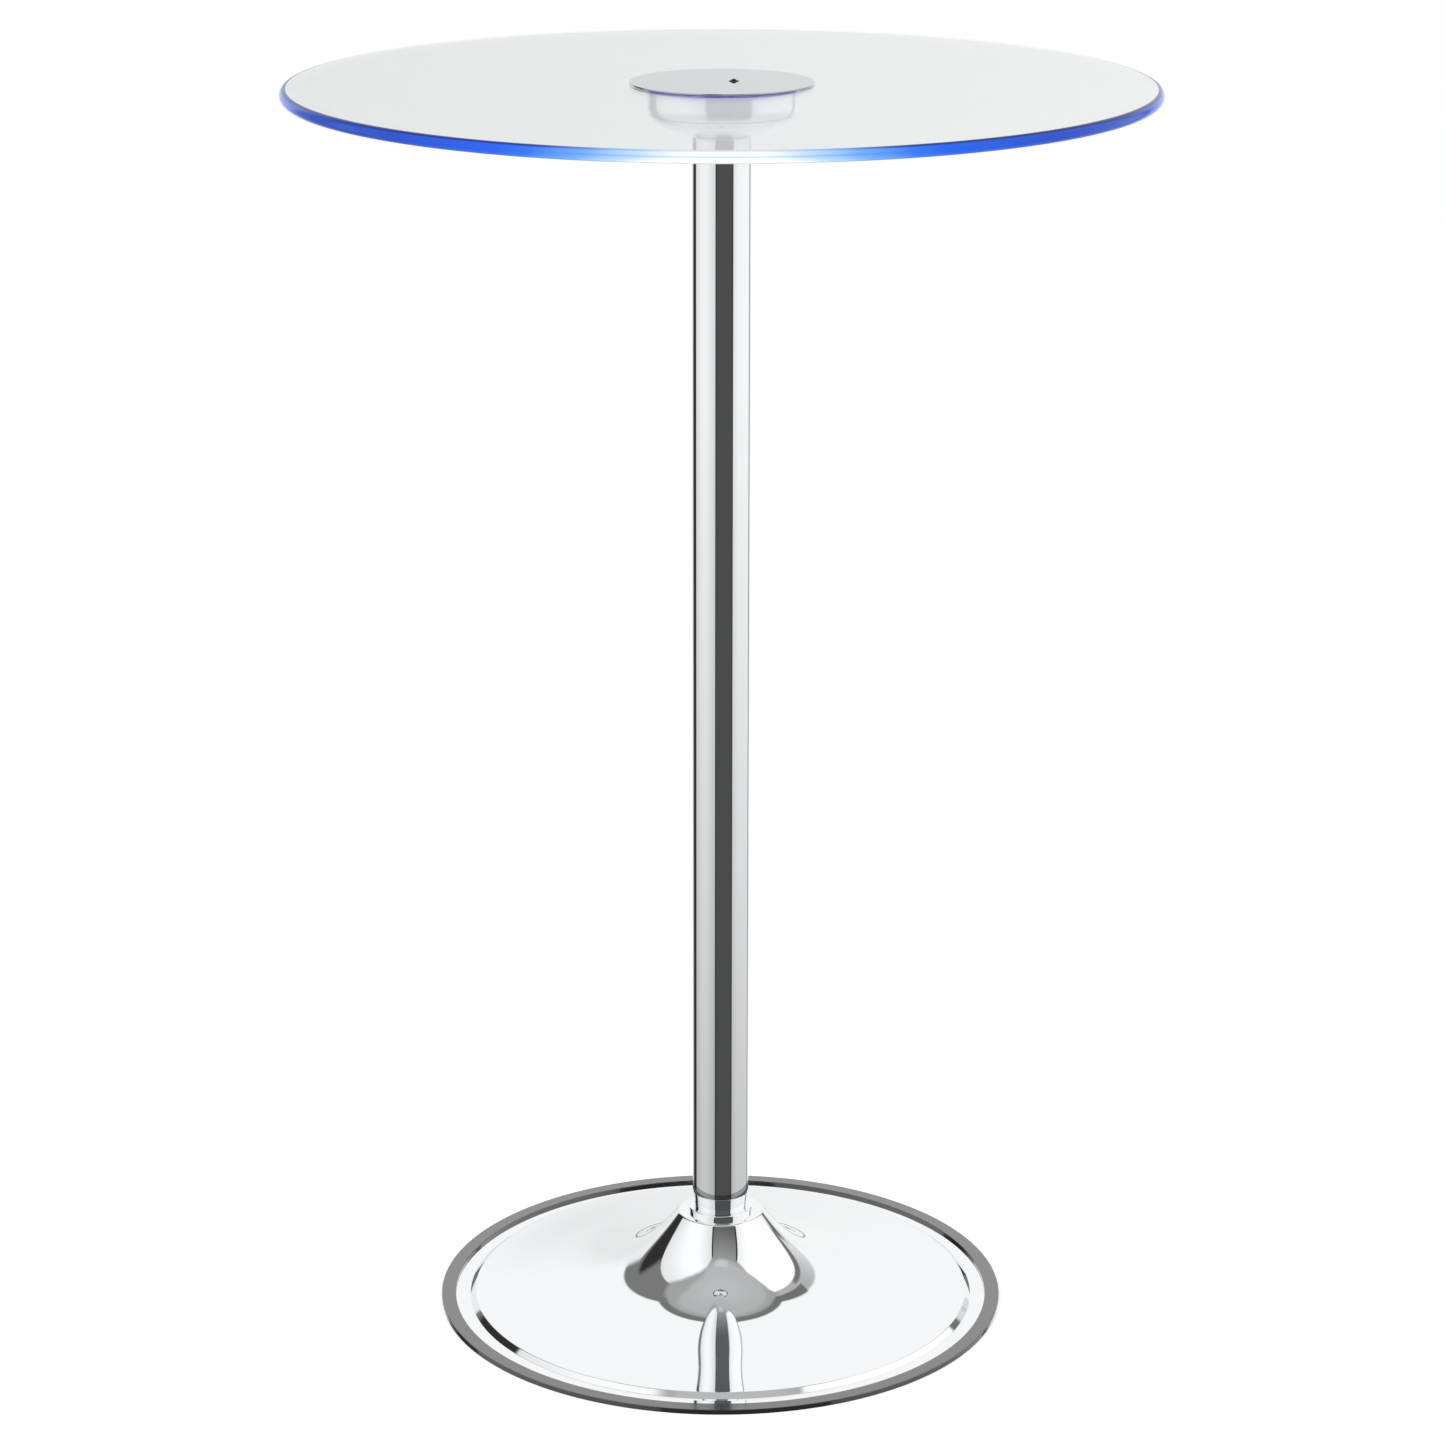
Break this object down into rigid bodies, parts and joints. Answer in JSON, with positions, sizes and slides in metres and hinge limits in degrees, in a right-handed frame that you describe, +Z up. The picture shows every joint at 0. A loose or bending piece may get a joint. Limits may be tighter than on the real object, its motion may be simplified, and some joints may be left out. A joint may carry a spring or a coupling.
{
  "type": "light up led table",
  "caption": "Round glass-topped bar table on a chrome column and trumpet base, with a battery lamp unit in the middle that lights the glass and its edge.",
  "frame": {"origin": "on the floor, on the table's axis, under the middle of the round base", "axes": "+Z up along the column, -Y to the front, +X to the right seen from the front; the power button faces +Y"},
  "size_m": [0.7112, 0.7112, 1.0647],
  "materials": {
    "chrome": "mirror polished",
    "chromed_hub": "mirror polished bead, plain below",
    "black_trim": "glossy",
    "iron": "as cast",
    "black_paint": "satin",
    "zinced_steel": "zinc plated",
    "clear_glass": "polished",
    "clear_silicone": "smooth",
    "black_rubber": "matt",
    "white_plastic": "fine grain",
    "black_plastic": "fine grain",
    "white_tape": "smooth",
    "blue_lamp": "clear lens",
    "green_board": "lacquered",
    "dark_parts": "moulded",
    "smoked_plastic": "polished",
    "spring_contact": "nickel plated",
    "cell_sleeve": "printed film left plain",
    "button_black": "smooth",
    "lead_black": "smooth"
  },
  "bodies": {
    "table": {"ballast": "iron", "base_edge_ring": "black_trim", "base_hub": "chromed_hub", "base_shell": "chrome", "battery_cell_1": "cell_sleeve", "battery_cell_2": "cell_sleeve", "battery_cell_3": "cell_sleeve", "battery_cell_4": "cell_sleeve", "battery_contacts": "spring_contact", "battery_lead": "lead_black", "battery_tray": "black_plastic", "board_parts": "dark_parts", "board_screws": "zinced_steel", "bottom_plate": "black_paint", "bottom_plate_screws": "zinced_steel", "bowl_screws": "zinced_steel", "bowl_washers": "zinced_steel", "column_foot": "chrome", "column_spacer": "zinced_steel", "column_top_plug": "zinced_steel", "column_tube": "chrome", "control_board": "green_board", "glass_gasket": "clear_silicone", "glass_top": "clear_glass", "hub_bolt": "zinced_steel", "hub_foot": "black_paint", "hub_lock_washer": "zinced_steel", "hub_stand": "black_paint", "hub_washer": "zinced_steel", "lamp_band": "white_tape", "lamp_bowl": "chrome", "lamp_carrier": "white_plastic", "lamp_lead": "lead_black", "lamps": "blue_lamp", "light_pipe": "smoked_plastic", "remote_receiver": "dark_parts", "switch_bezel": "chrome", "switch_body": "black_plastic", "switch_lead": "lead_black", "switch_nut": "zinced_steel"},
    "cover": {"cover_plate": "chrome", "cover_spigot": "chrome", "cover_gasket": "black_rubber"},
    "button": {"power_button": "button_black"}
  },
  "joints": [
    {"name": "cover_lift", "type": "slide", "parent": "table", "child": "cover", "axis": [0, 0, 1], "range_m": [0, 0.06]},
    {"name": "button_press", "type": "slide", "parent": "table", "child": "button", "axis": [0, -1, 0], "range_m": [0, 0.0015], "stiffness_N_per_m": 600}
  ]
}
